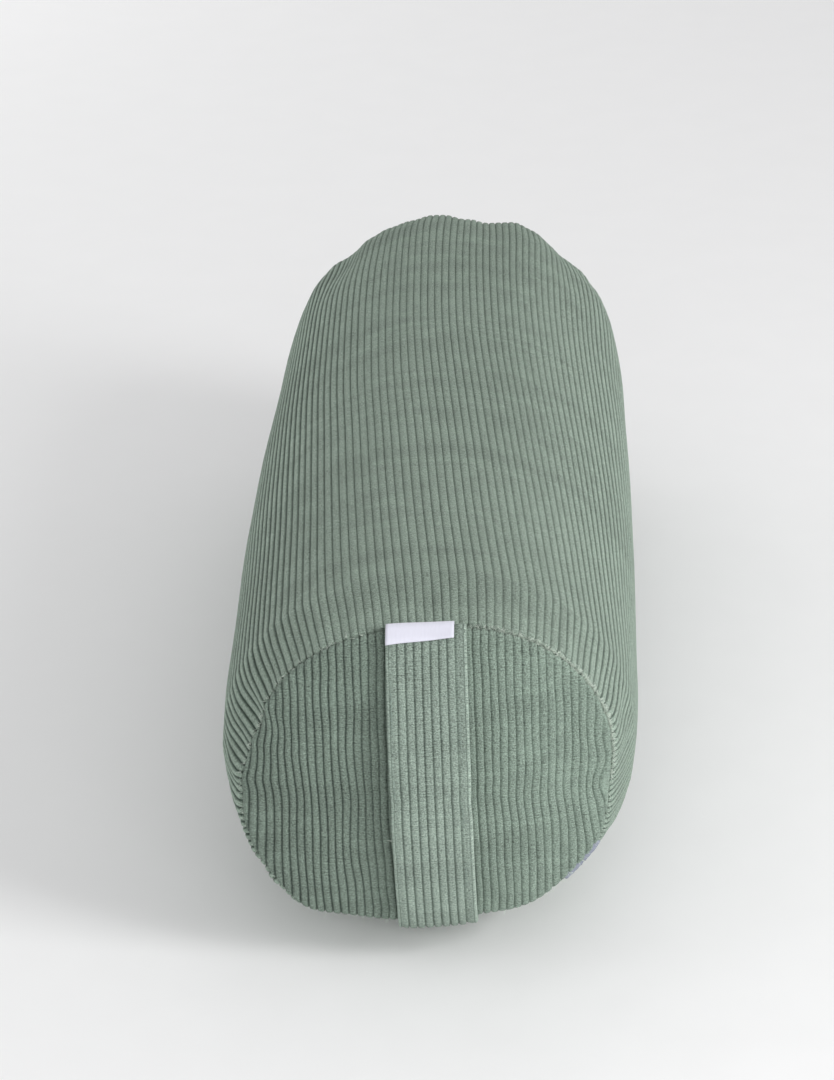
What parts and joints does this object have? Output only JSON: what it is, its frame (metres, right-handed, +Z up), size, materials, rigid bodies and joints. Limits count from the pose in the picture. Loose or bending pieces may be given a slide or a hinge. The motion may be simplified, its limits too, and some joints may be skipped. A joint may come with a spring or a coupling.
{
  "type": "yoga bolster",
  "caption": "Round yoga bolster: kapok pillow in a zipped sage corduroy cover with crowned end discs, a flat carry strap over one end and a small bare label.",
  "frame": {"origin": "on the floor, in the middle of the flat resting patch, midway between the two end seams", "axes": "+Y along the bolster away from the strap end, +Z up as it lies, +X towards the side with the zip"},
  "size_m": [0.2286, 0.6631, 0.1997],
  "materials": {
    "corduroy_body": "sage green wide-wale cotton corduroy, ribs along the length, soft pile",
    "corduroy_ends": "the same corduroy, ribs upright on the end discs",
    "corduroy_strap": "the same corduroy folded double, ribs along the strap",
    "cotton_lining": "plain undyed cotton of the inner pillow",
    "kapok_fibre": "loose kapok fibre, packed firm",
    "woven_label_satin": "pale woven satin label, bare",
    "zip_tape_polyester": "lilac grey woven polyester tape",
    "zip_coil_nylon": "lilac grey nylon coil",
    "bar_tack_thread": "dense thread bars sewn over the coil",
    "zip_slider_zinc": "die-cast zinc, satin grey"
  },
  "bodies": {
    "bolster": {"cover_body_panel": "corduroy_body", "cover_front_disc": "corduroy_ends", "cover_back_disc": "corduroy_ends", "liner_body_panel": "cotton_lining", "liner_front_disc": "cotton_lining", "liner_back_disc": "cotton_lining", "kapok_filling": "kapok_fibre", "handle_strap": "corduroy_strap", "woven_label": "woven_label_satin", "zip_tape_upper": "zip_tape_polyester", "zip_tape_lower": "zip_tape_polyester", "zip_coil_upper": "zip_coil_nylon", "zip_coil_lower": "zip_coil_nylon", "zip_stop_near": "bar_tack_thread", "zip_stop_far": "bar_tack_thread"},
    "zip_slider": {"zip_slider": "zip_slider_zinc"},
    "zip_pull": {"zip_pull": "zip_slider_zinc"}
  },
  "joints": [
    {"name": "zip_slide", "type": "slide", "parent": "bolster", "child": "zip_slider", "axis": [0, -1, 0], "range_m": [0, 0.3658]},
    {"name": "pull_hinge", "type": "hinge", "parent": "zip_slider", "child": "zip_pull", "pos_m": [0.09722, 0.18295, 0.03831], "axis": [0.5592, 0, 0.829], "range_deg": [-86, 86]}
  ]
}
